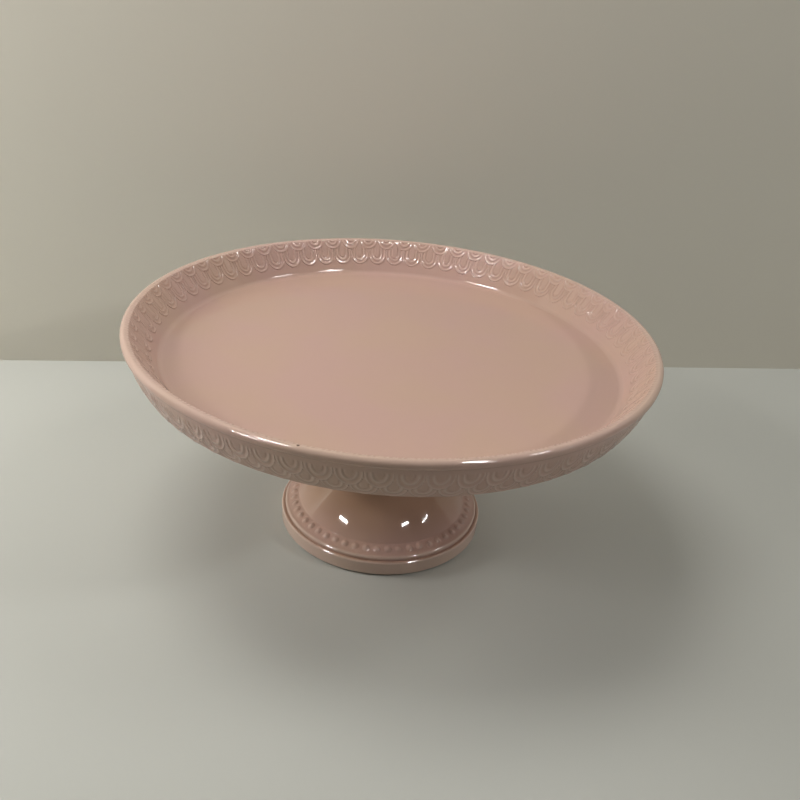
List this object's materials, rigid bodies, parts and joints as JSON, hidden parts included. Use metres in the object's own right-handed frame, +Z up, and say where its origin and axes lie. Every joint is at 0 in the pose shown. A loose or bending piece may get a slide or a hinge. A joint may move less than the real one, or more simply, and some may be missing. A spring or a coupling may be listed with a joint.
{
  "type": "cake turntable",
  "caption": "Footed ceramic cake turntable: a shallow dish with an upright scale-relief rim that turns on a hidden ball swivel above a domed, beaded foot.",
  "frame": {"origin": "on the surface the stand rests on, on the axis the dish turns about: the centre of the bottom of the bounding box", "axes": "+Z up along the axis of rotation, from the foot to the dish; X and Y are level and alike, because the object is round"},
  "size_m": [0.3, 0.3, 0.134],
  "materials": {
    "blush_glaze": "gloss",
    "bond_foam": "matte",
    "zinc_steel": "satin",
    "ball_steel": "polished",
    "spring_steel": "satin",
    "nylon": "matte",
    "insert_nylon": "matte",
    "silicone": "satin"
  },
  "bodies": {
    "stand": {"pedestal": "blush_glaze", "bottom_bond_pad": "bond_foam", "bottom_race": "zinc_steel", "spindle_bush": "nylon", "foot_pads": "silicone"},
    "turning_dish": {"plate": "blush_glaze", "top_bond_pad": "bond_foam", "top_race": "zinc_steel", "spindle": "zinc_steel", "thrust_washer": "nylon", "disc_spring": "spring_steel", "backing_washer": "zinc_steel", "lock_nut": "zinc_steel", "nut_insert": "insert_nylon"},
    "rolling_set": {"ball_cage": "nylon", "bearing_balls": "ball_steel"}
  },
  "joints": [
    {"name": "plate_turn", "type": "hinge", "parent": "stand", "child": "turning_dish", "pos_m": [0, 0, 0.1043], "axis": [0, 0, 1], "continuous": true},
    {"name": "cage_turn", "type": "hinge", "parent": "stand", "child": "rolling_set", "pos_m": [0, 0, 0.1043], "axis": [0, 0, 1], "continuous": true}
  ],
  "couplings": [
    {"joint": "cage_turn", "follows": "plate_turn", "ratio": 0.5}
  ]
}
